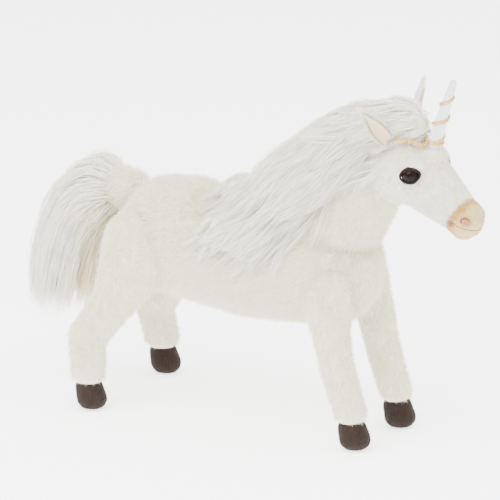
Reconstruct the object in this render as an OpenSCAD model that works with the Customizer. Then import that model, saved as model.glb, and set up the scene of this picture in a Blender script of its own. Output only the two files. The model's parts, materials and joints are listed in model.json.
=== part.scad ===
// Plush unicorn standing on a bendable wire frame. The animal faces -Y, +X is its left, and z = 0 is the
// surface it stands on. Every stuffed part is a sewn cover over its own filling, and every place where the
// frame bends is a hinge: a wire eye that turns on a bar.

/* [Torso] */
// Height of the centre line of the barrel
torso_z = 144; // [138:1:150]
// Radius of the chest
chest_r = 48; // [44:1:52]
// Radius of the rump
rump_r = 50; // [46:1:54]

/* [Neck and head] */
// Radius of the ball where the neck leaves the chest
neck_base_r = 42; // [38:1:44]
// Radius of the ball where the head nods on the neck
poll_r = 27; // [24:1:28]
// Radius of the cranium
cranium_r = 29; // [27:1:30]
// Radius of the muzzle
muzzle_r = 17.5; // [15:0.5:19]
// Diameter of the glass eyes
eye_d = 15; // [10:0.5:16]
// Length of the horn
horn_len = 66; // [50:1:80]
// Radius of the horn at its base
horn_base_r = 6.6; // [5:0.1:8]
// Length of the ears
ear_len = 50; // [36:1:54]

/* [Legs] */
// Distance between the centres of the front hooves
front_stance = 72; // [68:1:80]
// Distance between the centres of the rear hooves
rear_stance = 116; // [110:1:124]
// Radius of the lower front legs
front_leg_r = 14.5; // [12:0.5:15]
// Radius of the lower rear legs
rear_leg_r = 14; // [12:0.5:15]
// Height of the hooves
hoof_h = 25; // [20:1:28]

/* [Sewing] */
// Thickness of the plush cloth with its backing
cloth = 1.6; // [1:0.1:2.5]
// Space between parts that move past each other
gap = 0.6; // [0.4:0.1:1]
// Radius of the frame wire
wire_r = 1.6; // [1.2:0.1:2]

/* [Hidden] */
$fn = 28;

LEFT = 1;                    // side of the animal, as the sign of X
RIGHT = -1;
bar_r = 2;                   // bars that the wire eyes turn on
eye_clear = 0.06;            // running clearance of an eye on its bar
eye_wall = 2;                // wire round the hole of an eye
eye_w = 4;                   // width of an eye along its bar
fill_gap = 0.6;              // between a cover and its filling
channel = 0.3;               // between a wire and the filling round it
far = 200;                   // larger than any part

// Ball centres of the torso, neck and head, on the middle plane: [x, y, z]
chest = [0, -70, torso_z];
rump = [0, 82, torso_z + 1];
neck_base = [0, -70, 164];
poll = [0, -118, 232];
cranium = [0, -150, 240];
muzzle = [0, -200, 206];
horn_base = [0, -169, 260];
horn_dir = [0, -0.315, 0.949];
tail_root = [0, 129, 172];
tail_tip_r = 26;
tail_tip = [0, -muzzle.y + muzzle_r - tail_tip_r, 96];

// Joint interfaces of the legs are flat, on planes this far from the middle
leg_x = 20;
// Front legs, given for the left side: hinge of the shoulder, knee and hoof
shoulder = [front_stance / 2, -86, 130];
shoulder_pad_r = 30;
knee = [front_stance / 2, -100, 66];
front_hoof = [front_stance / 2, -116, 0];
// Rear legs, given for the left side: hinge of the hip, hock and hoof
hip = [rear_stance / 2 - 20, 96, 136];
hip_pad_r = 37;
hock = [rear_stance / 2 - 5, 134, 60];
rear_hoof = [rear_stance / 2, 129, 0];
knee_core_r = 10.5;          // ball of filling that the lower leg turns round
knee_open = 4.6;             // half of the opening that the covers leave at a knee
hock_open = 6.8;             // and at a hock, which stands bent

function opening(bend) = bend == hock ? hock_open : knee_open;

// ---------- helpers ----------

function mirrored(p, side) = [side * p.x, p.y, p.z];
function unit(v) = v / norm(v);

// Half outline of a ball of radius ra at 0 and one of rb at len with a straight taper between
module limb_outline(ra, rb, len) {
    tilt = asin((ra - rb) / len);
    overlap = 10;            // the taper's ends lie this many degrees inside the balls' outlines
    intersection() {
        union() {
            circle(ra);
            translate([0, len])
                circle(rb);
            polygon([
                [0, 0],
                [ra * cos(tilt + overlap), ra * sin(tilt + overlap)],
                [rb * cos(tilt - overlap), len + rb * sin(tilt - overlap)],
                [0, len]
            ]);
        }
        translate([0, -far])
            square([far, 2 * far + len]);
    }
}

// Turns +Z onto the direction from p to q, with p as the origin
module aim(p, q) {
    d = q - p;
    translate(p)
        rotate([0, acos(d.z / norm(d)), atan2(d.y, d.x)])
            children();
}

// The seam is where the turned surface closes on itself, in degrees round the limb
module limb(p, q, rp, rq, seam = 0) {
    aim(p, q)
        rotate([0, 0, seam])
            rotate_extrude()
                limb_outline(rp, rq, norm(q - p));
}

module ball(p, r) {
    translate(p)
        sphere(r);
}

module rod(p, q, r) {
    aim(p, q)
        cylinder(h = norm(q - p), r = r);
}

// Everything on the far side of the plane through p whose normal points along d
module beyond(p, d) {
    aim(p, p + d)
        translate([-far, -far, 0])
            cube(2 * far);
}

// A bar along X, w long, centred on p
module x_bar(p, w, r) {
    translate([p.x - w / 2, p.y, p.z])
        rotate([0, 90, 0])
            cylinder(h = w, r = r);
}

// A wire eye round an X bar, centred on p
module x_eye(p, extra = 0) {
    x_bar(p, eye_w + 2 * extra, bar_r + eye_clear + eye_wall + extra);
}

module eye_hole(p) {
    x_bar(p, far, bar_r + eye_clear);
}

// A YZ shape extruded along X from x0 to x1 on one side of the animal
module beside(side, x0, x1) {
    translate([side > 0 ? x0 : -x1, 0, 0])
        rotate([90, 0, 90])
            linear_extrude(x1 - x0)
                children();
}

// ---------- shared outer shapes; inset pulls each one in ----------

neck_dir = unit(poll - neck_base);

// Room in the torso for a leg: its round pad, and the fan that the leg sweeps below it
module leg_room(pivot, pad_r, fan_half, fan_mid, inset) {
    reach = 100;
    for (side = [LEFT, RIGHT])
        beside(side, leg_x - inset, far) {
            translate([pivot.y, pivot.z])
                circle(pad_r + gap + inset);
            polygon([
                [pivot.y, pivot.z],
                for (a = [-fan_half, 0, fan_half])
                    [pivot.y + reach * sin(a + fan_mid), pivot.z - reach * cos(a + fan_mid)]
            ]);
        }
}

// A direction on the middle plane turned about X, as a hinge turns it
function turned(d, a) = [d.x, d.y * cos(a) - d.z * sin(a), d.y * sin(a) + d.z * cos(a)];

neck_back = -10;             // how far the neck bends back and forward
neck_forward = 25;
neck_cut = 8;                // the neck starts this far above its hinge

// Bowl in the torso that the base of the neck turns in; the torso's filling closes it below
module neck_room(inset) {
    difference() {
        ball(neck_base, neck_base_r + gap + inset);
        intersection_for (a = [neck_back, neck_forward])
            beyond(neck_base + turned(neck_dir, a) * (neck_cut - gap - inset), -turned(neck_dir, a));
    }
    ball(neck_base, 12);
    for (a = [neck_back, neck_forward])
        translate(neck_base)
            aim([0, 0, 0], turned(neck_dir, a))
                translate([0, 0, neck_cut + 4])
                    cylinder(h = 70, r1 = neck_base_r + gap + inset, r2 = poll_r + 6 + inset);
}

module torso_shape(inset = 0) {
    difference() {
        limb(rump, chest, rump_r - inset, chest_r - inset);
        neck_room(inset / 2);
        leg_room(shoulder, shoulder_pad_r, 60, -10, inset / 2);
        leg_room(hip, hip_pad_r, 54, 16, inset / 2);
        ball(tail_root, tail_root_r + gap + inset / 2);
    }
}

// Turns a piece about the neck's hinge
module neck_turn(a) {
    translate(neck_base)
        rotate([a, 0, 0])
            translate(-neck_base)
                children();
}

module neck_shape(inset = 0) {
    difference() {
        limb(neck_base, poll, neck_base_r - inset, poll_r - inset);
        beyond(poll, neck_dir);
        beyond(neck_base + neck_dir * neck_cut, -neck_dir);
        // the shoulder pads, where the neck sees them as it bends
        for (a = [neck_back, (neck_back + neck_forward) / 2, neck_forward], side = [LEFT, RIGHT])
            neck_turn(-a)
                beside(side, leg_x - gap - inset / 2, far)
                    translate([shoulder.y, shoulder.z])
                        circle(shoulder_pad_r + 2 * gap + inset / 2);
    }
}

module poll_shape(inset = 0) {
    difference() {
        ball(poll, poll_r - inset);
        beyond(poll + neck_dir * gap, -neck_dir);
    }
}

nod_swings = [-17, 17];

// The neck as the head sees it while it nods
module nod_room() {
    ball(poll, poll_r + gap);
    for (a = nod_swings)
        translate(poll)
            rotate([a, 0, 0])
                aim([0, 0, 0], -neck_dir)
                    cylinder(h = 70, r1 = poll_r + gap + 0.5, r2 = neck_base_r);
}

head_dir = unit(muzzle - cranium);
muzzle_edge = muzzle - head_dir * 5;

module head_shape(inset = 0) {
    difference() {
        limb(cranium, muzzle, cranium_r - inset, muzzle_r - inset, seam = 40);
        nod_room();
    }
}

// ---------- torso ----------

shoulder_bar_w = 2 * (leg_x + 11);
hip_bar_w = 2 * (leg_x + 13);
spine_z = 150;

module frame_lines(r, br) {
    rod([0, neck_base.y + 6, spine_z], [0, tail_root.y - 14, spine_z], r);
    rod([0, neck_base.y + 6, spine_z], [-5, neck_base.y, neck_base.z], r);
    rod([0, tail_root.y - 14, spine_z], [-5, tail_root.y, tail_root.z], r);
    rod([0, hip.y, hip.z], [0, hip.y, spine_z], r - 0.1);
    rod([0, shoulder.y, shoulder.z], [0, neck_base.y + 6, spine_z], r);
    ball([0, neck_base.y + 6, spine_z], r + 0.4);
    ball([0, tail_root.y - 14, spine_z], r + 0.4);
    x_bar([0, shoulder.y, shoulder.z], shoulder_bar_w, br);
    x_bar([0, hip.y, hip.z], hip_bar_w, br);
    x_bar(neck_base, 12, br);
    x_bar(tail_root, 12, br);
}

module torso_cover() {
    color("ivory")
        difference() {
            torso_shape();
            limb(rump, chest, rump_r - cloth, chest_r - cloth);
        }
}

module torso_filling() {
    color("white")
        difference() {
            torso_shape(cloth + fill_gap, $fn = 20);
            frame_lines(wire_r + channel, bar_r + channel);
        }
}

module frame_wire() {
    color("silver")
        frame_lines(wire_r, bar_r);
}

module mane_withers() {
    color("seashell")
        difference() {
            union() {
                limb([-14, -14, 188], [-4, 14, 190], 24, 20, $fn = 20);
                limb([-40, -22, 170], [-36, 14, 174], 18, 15, $fn = 20);
            }
            limb(rump, chest, rump_r + gap / 2, chest_r + gap / 2);
            for (a = [neck_back - 1, 0])
                neck_turn(a)
                    mane_solid(1);
            ball(neck_base, neck_base_r + 4);
        }
}

// ---------- neck ----------

neck_pivot_pin = poll - neck_dir * 16;     // foot of the pin that the nape turns on

module neck_wire() {
    color("silver")
        difference() {
            union() {
                rod(neck_base, neck_pivot_pin + neck_dir, wire_r);
                x_eye(neck_base);
                rod(neck_pivot_pin, poll - neck_dir * 7, bar_r);
            }
            eye_hole(neck_base);
        }
}

module neck_channels() {
    rod(neck_base, poll, bar_r + channel);
    x_eye(neck_base, channel);
    ball(poll, 17);
}

module neck_cover() {
    color("ivory")
        difference() {
            neck_shape();
            limb(neck_base, poll, neck_base_r - cloth, poll_r - cloth);
        }
}

module neck_filling() {
    color("white")
        difference() {
            neck_shape(cloth + fill_gap);
            neck_channels();
        }
}

module mane_solid(grow = 0) {
    limb([-8, -44, 206], [-4, -90, 257], 40 + grow, 35 + grow, $fn = 20);
}

module mane_neck() {
    color("seashell")
        difference() {
            mane_solid();
            limb(neck_base, poll, neck_base_r + gap, poll_r + gap);
            for (a = [0, -neck_back + 1])
                neck_turn(a)
                    limb(rump, chest, rump_r + gap, chest_r + gap);
            beyond(poll - neck_dir * 2, neck_dir);
            beyond(neck_base, cross([1, 0, 0], neck_dir));
        }
}

// ---------- nape ----------

module poll_swivel() {
    color("silver")
        difference() {
            union() {
                rod(poll - neck_dir * 14, poll - neck_dir * 5, bar_r + eye_clear + eye_wall);
                rod(poll - neck_dir * 6, poll, wire_r);
                x_bar(poll, 14, bar_r);
            }
            rod(poll - neck_dir * 20, poll - neck_dir * 6.8, bar_r + eye_clear);
        }
}

module poll_cover() {
    color("ivory")
        difference() {
            poll_shape();
            ball(poll, poll_r - cloth);
            head_wire_room();
        }
}

// Hair behind the ears: it turns with the nape and the head nods in front of it
module mane_nape() {
    color("seashell")
        difference() {
            limb([-3, -82, 256], [-2, -100, 267], 27, 25, $fn = 20);
            ball(poll, poll_r + gap / 2);
            beyond(poll + neck_dir * gap, -neck_dir);
            for (a = [nod_swings[0], 0, nod_swings[1]])
                translate(poll)
                    rotate([a, 0, 0])
                        translate(-poll) {
                            ball(cranium, cranium_r + gap, $fn = 20);
                            limb([0, -131, 266], [0, -154, 272], 18, 16, $fn = 20);
                        }
            beyond([0, -110, 270], [0, -1, 0]);
        }
}

module poll_filling() {
    color("white")
        difference() {
            poll_shape(cloth + fill_gap);
            ball(poll, 9);
            head_wire_room();
        }
}

// Slot that the head wire sweeps through the nape as the head nods
module head_wire_room() {
    out = cranium + [0, 0, -4] - poll;
    beside(LEFT, 1.5, 6.5)
        polygon([
            [poll.y, poll.z],
            for (a = [-32, 0, 32])
                let (d = turned(out, a))
                [poll.y + 2 * d.y, poll.z + 2 * d.z]
        ]);
}

// ---------- head ----------

eye_r = eye_d / 2;
eye_out = [1, -0.34, 0.12];          // where the left eye looks
eye_pos = [26.3, -163.5, 242.5];     // centre of the left eye on the head

module head_wire_line(r) {
    rod(poll + [4, 0, 0], cranium + [4, 0, -4], r);
    rod(cranium + [4, 0, -4], muzzle, r);
    ball(cranium + [4, 0, -4], r + 0.4);
}

module head_wire() {
    color("silver")
        difference() {
            union() {
                head_wire_line(wire_r);
                x_eye(poll + [4, 0, 0]);
            }
            eye_hole(poll);
        }
}

module at_eye(side) {
    pos = mirrored(eye_pos, side);
    out = mirrored(eye_out, side);
    aim(pos, pos + out)
        children();
}

// A domed glass button on a stalk
module eye_button(grow = 0) {
    dome_h = 5;
    sink = 1.2;
    ball_r = (eye_r * eye_r + dome_h * dome_h) / (2 * dome_h);
    intersection() {
        translate([0, 0, dome_h - sink - ball_r])
            sphere(ball_r + grow);
        translate([0, 0, -sink - grow])
            cylinder(h = 2 * dome_h, r = eye_r + grow);
    }
    translate([0, 0, -10 - grow])
        cylinder(h = 10, r = 1.5 + grow);
}

module eye_washer(grow = 0) {
    translate([0, 0, -8 - grow])
        difference() {
            cylinder(h = 1.2 + 2 * grow, r = 5.5 + grow);
            translate([0, 0, -1])
                cylinder(h = 4, r = 1.5 - grow);
        }
}

module eye(side) {
    color("black")
        at_eye(side)
            eye_button();
}

module eye_washers() {
    color("gainsboro")
        for (side = [LEFT, RIGHT])
            at_eye(side)
                difference() {
                    eye_washer();
                    translate([0, 0, -9])
                        cylinder(h = 4, r = 1.56);
                }
}

module horn_room() {
    aim(horn_base, horn_base + horn_dir)
        translate([0, 0, -9])
            cylinder(h = 40, r = horn_base_r + 0.2);
}

module head_cover() {
    color("ivory")
        difference() {
            head_shape();
            limb(cranium, muzzle, cranium_r - cloth, muzzle_r - cloth);
            beyond(muzzle_edge, head_dir);
            for (side = [LEFT, RIGHT])
                at_eye(side)
                    eye_button(0.15);
            horn_room();
        }
}

module muzzle_cover() {
    color("peachpuff")
        difference() {
            limb(cranium, muzzle, cranium_r, muzzle_r);
            limb(cranium, muzzle, cranium_r - cloth, muzzle_r - cloth);
            beyond(muzzle_edge + head_dir * 0.1, -head_dir);
        }
}

module head_filling() {
    color("white")
        difference() {
            head_shape(cloth + fill_gap);
            for (side = [LEFT, RIGHT])
                at_eye(side)
                    translate([0, 0, -11])
                        cylinder(h = 30, r = eye_r + 0.5);
            head_wire_line(wire_r + channel);
            horn_room();
        }
}

// Two small dark patches on the front of the muzzle
module nostrils() {
    color("saddlebrown")
        for (side = [LEFT, RIGHT])
            aim(muzzle, muzzle + [side * 0.5, -0.84, 0.1])
                translate([0, 0, muzzle_r + 0.03])
                    cylinder(h = 0.5, r = 2.2);
}

// A row of stitches round the chin: a thin arc that hugs the ball of the muzzle
module mouth_seam() {
    stitch_r = 0.7;
    color("saddlebrown")
        translate(muzzle)
            rotate([22, 0, 0])
                rotate([0, 0, 200])
                    rotate_extrude(angle = 140)
                        translate([muzzle_r + stitch_r + 0.05, 0])
                            circle(stitch_r);
}

module forelock() {
    color("seashell")
        difference() {
            limb([0, -131, 266], [0, -154, 272], 17, 15, $fn = 24);
            limb(cranium, muzzle, cranium_r + gap / 2, muzzle_r + gap / 2, $fn = 24);
            ball(poll, poll_r + 2);
            for (side = [LEFT, RIGHT])
                ear_room(side, $fn = 20);
            aim(horn_base, horn_base + horn_dir)
                translate([0, 0, -12])
                    cylinder(h = 60, r = horn_base_r + 1.9);
            ball(cranium, cranium_r + 3.2, $fn = 24);
        }
}

// ---------- horn and gold cords ----------

horn_tip_r = 3;
horn_cord_r = 0.9;
horn_turns = 3;

module horn_shape(inset = 0) {
    aim(horn_base, horn_base + horn_dir)
        translate([0, 0, inset])
            rotate_extrude()
                polygon(concat(
                    [[0, 0], [horn_base_r - inset, 0]],
                    [for (i = [0:6]) let (t = i * 15)
                        [(horn_tip_r - 0.6 * inset) * cos(t),
                         horn_len - horn_tip_r - 2 * inset + (horn_tip_r - 0.6 * inset) * sin(t)]]
                ));
}

module horn_cover() {
    color("whitesmoke")
        difference() {
            horn_shape();
            horn_shape(1);
        }
}

module horn_filling() {
    color("white")
        horn_shape(1.2);
}

// Centre line of the gold cord: a helix that climbs the cone of the horn
function horn_radius(z) = horn_base_r + (horn_tip_r - horn_base_r) * z / (horn_len - horn_tip_r);
function helix_point(i, n) =
    let (
        z = 5 + i / n * (horn_len * 0.62),
        t = -90 + i / n * 360 * horn_turns,
        r = horn_radius(z) + horn_cord_r + 0.15
    )
    [r * cos(t), r * sin(t), z];

// A tube of sides faces swept along points, with its ends closed
module tube(points, r, sides = 6) {
    n = len(points);
    rings = [for (i = [0:n - 1])
        let (
            d = unit(points[min(i + 1, n - 1)] - points[max(i - 1, 0)]),
            u = unit(cross(d, [0, 0, 1])),
            v = cross(d, u)
        )
        for (k = [0:sides - 1])
            points[i] + r * (cos(360 * k / sides) * u + sin(360 * k / sides) * v)];
    quads = [for (i = [0:n - 2], k = [0:sides - 1])
        [i * sides + k, i * sides + (k + 1) % sides,
         (i + 1) * sides + (k + 1) % sides, (i + 1) * sides + k]];
    polyhedron(rings, concat(
        [[for (k = [sides - 1:-1:0]) k]],
        quads,
        [[for (k = [0:sides - 1]) (n - 1) * sides + k]]
    ), convexity = 6);
}

module horn_cord() {
    n = 14 * horn_turns;
    color("gold")
        aim(horn_base, horn_base + horn_dir)
            tube([for (i = [0:n]) helix_point(i, n)], horn_cord_r);
}

brow_cord_r = 1.1;
brow_start = unit([6, -13, 23]);     // leaves the side of the horn
brow_end = unit([15, 6, 25]);        // ends at the ear

// The gold cord lies over the brow from each side of the horn to the ear, on the ball of the cranium
module brow_cord() {
    n = 8;
    color("gold")
        for (side = [LEFT, RIGHT])
            tube([for (i = [0:n])
                let (d = unit(brow_start * (1 - i / n) + brow_end * i / n))
                cranium + mirrored(d, side) * (cranium_r + brow_cord_r + 0.4)
            ], brow_cord_r);
}

// ---------- ears ----------

ear_root = [19, -137, 262];          // centre of the left ear's root
ear_dir = unit([33, 6, 39]);
ear_w = 11;                          // half of the ear's width
ear_t = 5;                           // half of its thickness
ear_base = ear_root + ear_dir * 3;

// Turns +Z onto the ear's length and +Y onto the way its hollow faces
module at_ear(side) {
    base = mirrored(ear_base, side);
    aim(base, base + mirrored(ear_dir, side))
        rotate([0, 0, side > 0 ? 180 : 0])
            rotate([0, 0, -90])
                children();
}

module ear_leaf(w, t, l) {
    translate([0, 0, l / 2])
        resize([2 * w, 2 * t, l])
            sphere(10, $fn = 16);
}

module ear_shell(side) {
    color("ivory")
        at_ear(side)
            difference() {
                ear_leaf(ear_w, ear_t, ear_len - 3);
                translate([0, 4.6, 4])
                    ear_leaf(ear_w - 2, ear_t, ear_len - 11);
            }
}

module ear_lining(side) {
    color("peachpuff")
        at_ear(side)
            intersection() {
                translate([0, 4.7, 4.3])
                    ear_leaf(ear_w - 2.3, ear_t, ear_len - 11.6);
                translate([0, -1.6, 0])
                    ear_leaf(ear_w - 0.6, ear_t, ear_len - 4);
            }
}

module ear_room(side) {
    p = mirrored(ear_base, side);
    limb(p, p + mirrored(ear_dir, side) * ear_len, 13, 14);
}

// ---------- tail ----------

tail_root_r = 12;
tail_bend = [0, tail_root.y + 17, tail_root.z + 9];   // where the plume sways on the dock
tail_dock_dir = unit(tail_bend - tail_root);
tail_crown = [0, 160, 170];
tail_crown_r = 24;
tail_wire_end = tail_crown + (tail_tip - tail_crown) * 0.55;

module z_bar(p, h, r) {
    translate([p.x, p.y, p.z - h / 2])
        cylinder(h = h, r = r);
}

dock_cut = 5;                // the dock's cover starts this far from its hinge

module dock_shape(inset = 0) {
    difference() {
        ball(tail_root, tail_root_r - inset);
        beyond(tail_root + tail_dock_dir * dock_cut, -tail_dock_dir);
        ball(tail_bend, 11.6);
    }
}

module tail_dock_cover() {
    color("ivory")
        difference() {
            dock_shape();
            ball(tail_root, tail_root_r - cloth);
        }
}

module tail_dock_filling() {
    color("white")
        difference() {
            dock_shape(cloth + fill_gap);
            rod(tail_root, tail_bend, wire_r + channel);
        }
}

module tail_dock_wire() {
    color("silver")
        difference() {
            union() {
                rod(tail_root, tail_bend, wire_r);
                x_eye(tail_root);
                z_bar(tail_bend - [0, 0, 2.5], 15, bar_r);
            }
            eye_hole(tail_root);
        }
}

tail_eye = tail_bend - [0, 0, 6.5];   // clear of the dock's own stem
tail_sway = 27;              // a little more than the plume sways to each side

// The plume's own wire: an eye on the dock's upright bar and a stem down the middle of the hair
module tail_wire() {
    color("silver")
        difference() {
            union() {
                z_bar(tail_eye, eye_w, bar_r + eye_clear + eye_wall);
                rod(tail_eye, tail_crown, wire_r);
                ball(tail_crown, wire_r + 0.4);
                rod(tail_crown, tail_wire_end, wire_r);
            }
            z_bar(tail_bend, far, bar_r + eye_clear);
        }
}

module tail_plume() {
    color("seashell")
        difference() {
            limb(tail_crown, tail_tip, tail_crown_r, tail_tip_r);
            for (a = [-tail_sway, 0, tail_sway])
                translate(tail_bend)
                    rotate([0, 0, a])
                        ball(tail_root - tail_bend, tail_root_r + 2.4);
            ball(tail_bend, 11);
            rod(tail_eye, tail_crown, wire_r + channel);
            ball(tail_crown, wire_r + 0.4 + channel);
            rod(tail_crown, tail_wire_end + [0, 0, -1], wire_r + channel);
        }
}

// ---------- legs ----------

// The parts of one leg, from the pivot on the torso down to the hoof, all given for its own side
module upper_solid(side, pivot, pad_r, thigh_r, bend, shank_r, inset) {
    ball([side * leg_x, pivot.y, pivot.z], pad_r - inset);
    limb(mirrored(pivot, side), mirrored(bend, side), thigh_r - inset, shank_r - inset);
}

module upper_shape(side, pivot, pad_r, thigh_r, bend, shank_r, inset = 0) {
    k = mirrored(bend, side);
    d = unit(k - mirrored(pivot, side));
    difference() {
        upper_solid(side, pivot, pad_r, thigh_r, bend, shank_r, inset);
        beside(-side, -leg_x - gap / 2, far)
            translate([-far, -far])
                square(2 * far);
        beyond(k - d * opening(bend), d);
    }
}

// Frame pieces of the upper leg: an eye on the torso's bar, a wire and the knee's bar
module upper_lines(side, pivot, bend, eye_x, r) {
    k = mirrored(bend, side);
    rod([side * eye_x, pivot.y, pivot.z], k - [side * 3.5, 0, 0], r);
    ball(k - [side * 3.5, 0, 0], r);
}

module upper_wire(side, pivot, bend, eye_x) {
    p = [side * eye_x, pivot.y, pivot.z];
    k = mirrored(bend, side);
    color("silver")
        difference() {
            union() {
                upper_lines(side, pivot, bend, eye_x, wire_r);
                x_eye(p);
                x_bar(k, 11, bar_r);
            }
            eye_hole(p);
        }
}

module upper_channels(side, pivot, bend, eye_x) {
    p = [side * eye_x, pivot.y, pivot.z];
    k = mirrored(bend, side);
    upper_lines(side, pivot, bend, eye_x, wire_r + channel);
    x_eye(p, channel);
    x_bar(p, 2 * (eye_x - leg_x) + 6, bar_r + channel);
    x_bar(k, 11 + 2 * channel, bar_r + channel);
}

module upper_cover(side, pivot, pad_r, thigh_r, bend, shank_r) {
    color("ivory")
        difference() {
            upper_shape(side, pivot, pad_r, thigh_r, bend, shank_r);
            upper_solid(side, pivot, pad_r, thigh_r, bend, shank_r, cloth);
        }
}

module upper_filling(side, pivot, pad_r, thigh_r, bend, shank_r, eye_x) {
    k = mirrored(bend, side);
    color("white")
        difference() {
            union() {
                upper_shape(side, pivot, pad_r, thigh_r, bend, shank_r, cloth + fill_gap, $fn = 20);
                ball(k, knee_core_r, $fn = 20);
            }
            upper_channels(side, pivot, bend, eye_x, $fn = 16);
            knee_wire_room(side, bend);
        }
}

// Slot in the knee's ball for the lower wire's eye and stem
module knee_wire_room(side, bend) {
    k = mirrored(bend, side) + [side * 3.5, 0, 0];
    x_bar(k, eye_w + 1.2, knee_core_r + 1);
}

module lower_shape(side, bend, hoof, shank_r, pastern_r, inset = 0) {
    k = mirrored(bend, side);
    f = mirrored(hoof + [0, 2, hoof_h - 6], side);
    d = unit(f - k);
    difference() {
        limb(k, f, shank_r - inset, pastern_r - inset, seam = 50 * side);
        beyond(k + d * opening(bend), -d);
        translate([-far, -far, hoof_h + 0.05 - far])
            cube([2 * far, 2 * far, far]);
        ball(k, knee_core_r + gap);
    }
}

// The wire of the lower leg runs from its eye down into the hoof
module lower_lines(side, bend, hoof, r) {
    k = mirrored(bend, side) + [side * 3.5, 0, 0];
    foot = mirrored(hoof, side) + [0, 0, 8];
    rod(k, foot, r);
}

module lower_cover(side, bend, hoof, shank_r, pastern_r) {
    color("ivory")
        difference() {
            lower_shape(side, bend, hoof, shank_r, pastern_r);
            limb(mirrored(bend, side), mirrored(hoof + [0, 2, hoof_h - 6], side),
                 shank_r - cloth, pastern_r - cloth, seam = 50 * side);
        }
}

module lower_filling(side, bend, hoof, shank_r, pastern_r) {
    color("white")
        difference() {
            lower_shape(side, bend, hoof, shank_r, pastern_r, cloth + fill_gap);
            lower_lines(side, bend, hoof, wire_r + channel);
        }
}

// A velvet hoof with the lower wire fixed in it; the wire's eye turns on the knee's bar
module hoof_and_wire(side, bend, hoof, r) {
    k = mirrored(bend, side) + [side * 3.5, 0, 0];
    color("saddlebrown")
        difference() {
            union() {
                translate(mirrored(hoof, side))
                    rotate_extrude()
                        polygon([[0, 0], [r - 1.6, 0], [r - 0.4, 1.2], [r, 4], [r - 0.2, hoof_h * 0.55],
                                 [r - 1, hoof_h - 2], [r - 2, hoof_h], [0, hoof_h]]);
                lower_lines(side, bend, hoof, wire_r);
                x_eye(k);
            }
            eye_hole(k);
        }
}

front_thigh_r = 17;
front_pastern_r = 13;
front_hoof_r = 13.6;
front_eye_x = leg_x + 7;
rear_thigh_r = 27;
rear_pastern_r = 12.6;
rear_hoof_r = 13;
rear_eye_x = leg_x + 9;

module front_upper_cover(side) {
    upper_cover(side, shoulder, shoulder_pad_r, front_thigh_r, knee, front_leg_r);
}
module front_upper_filling(side) {
    upper_filling(side, shoulder, shoulder_pad_r, front_thigh_r, knee, front_leg_r, front_eye_x);
}
module front_upper_wire(side) {
    upper_wire(side, shoulder, knee, front_eye_x);
}
module front_lower_cover(side) {
    lower_cover(side, knee, front_hoof, front_leg_r, front_pastern_r);
}
module front_lower_filling(side) {
    lower_filling(side, knee, front_hoof, front_leg_r, front_pastern_r);
}
module front_hoof(side) {
    hoof_and_wire(side, knee, front_hoof, front_hoof_r);
}
module rear_upper_cover(side) {
    upper_cover(side, hip, hip_pad_r, rear_thigh_r, hock, rear_leg_r);
}
module rear_upper_filling(side) {
    mirror([side == LEFT ? 1 : 0, 0, 0])
        upper_filling(RIGHT, hip, hip_pad_r, rear_thigh_r, hock, rear_leg_r, rear_eye_x);
}
module rear_upper_wire(side) {
    upper_wire(side, hip, hock, rear_eye_x);
}
module rear_lower_cover(side) {
    lower_cover(side, hock, rear_hoof, rear_leg_r, rear_pastern_r);
}
module rear_lower_filling(side) {
    lower_filling(side, hock, rear_hoof, rear_leg_r, rear_pastern_r);
}
module rear_hoof(side) {
    hoof_and_wire(side, hock, rear_hoof, rear_hoof_r);
}

// ---------- nodes ----------

torso_cover();
torso_filling();
frame_wire();
mane_withers();
neck_cover();
neck_filling();
neck_wire();
mane_neck();
poll_cover();
poll_filling();
poll_swivel();
mane_nape();
head_cover();
head_filling();
head_wire();
muzzle_cover();
nostrils();
mouth_seam();
eye(LEFT);  // eye_left
eye(RIGHT);  // eye_right
eye_washers();
forelock();
horn_cover();
horn_filling();
horn_cord();
brow_cord();
ear_shell(LEFT);  // ear_left
ear_lining(LEFT);  // ear_lining_left
ear_shell(RIGHT);  // ear_right
ear_lining(RIGHT);  // ear_lining_right
tail_dock_cover();
tail_dock_filling();
tail_dock_wire();
tail_plume();
tail_wire();
front_upper_cover(LEFT);  // front_left_upper_cover
front_upper_filling(LEFT);  // front_left_upper_filling
front_upper_wire(LEFT);  // front_left_upper_wire
front_lower_cover(LEFT);  // front_left_lower_cover
front_lower_filling(LEFT);  // front_left_lower_filling
front_hoof(LEFT);  // front_left_hoof
front_upper_cover(RIGHT);  // front_right_upper_cover
front_upper_filling(RIGHT);  // front_right_upper_filling
front_upper_wire(RIGHT);  // front_right_upper_wire
front_lower_cover(RIGHT);  // front_right_lower_cover
front_lower_filling(RIGHT);  // front_right_lower_filling
front_hoof(RIGHT);  // front_right_hoof
rear_upper_cover(LEFT);  // rear_left_upper_cover
rear_upper_filling(LEFT);  // rear_left_upper_filling
rear_upper_wire(LEFT);  // rear_left_upper_wire
rear_lower_cover(LEFT);  // rear_left_lower_cover
rear_lower_filling(LEFT);  // rear_left_lower_filling
rear_hoof(LEFT);  // rear_left_hoof
rear_upper_cover(RIGHT);  // rear_right_upper_cover
rear_upper_filling(RIGHT);  // rear_right_upper_filling
rear_upper_wire(RIGHT);  // rear_right_upper_wire
rear_lower_cover(RIGHT);  // rear_right_lower_cover
rear_lower_filling(RIGHT);  // rear_right_lower_filling
rear_hoof(RIGHT);  // rear_right_hoof
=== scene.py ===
"""A standing white plush unicorn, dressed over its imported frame.

Stuffed skins come first, then the short pile that covers them, then the long mane, forelock and
tail, and last the trims: muzzle, eyelids, ears, horn, gold cord and velvet hooves.
Lengths are in millimetres in the frame's axes until a mesh is made.
"""

import json
import math

import bmesh
import bpy
import numpy as np
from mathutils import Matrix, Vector
from mathutils.bvhtree import BVHTree


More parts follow.
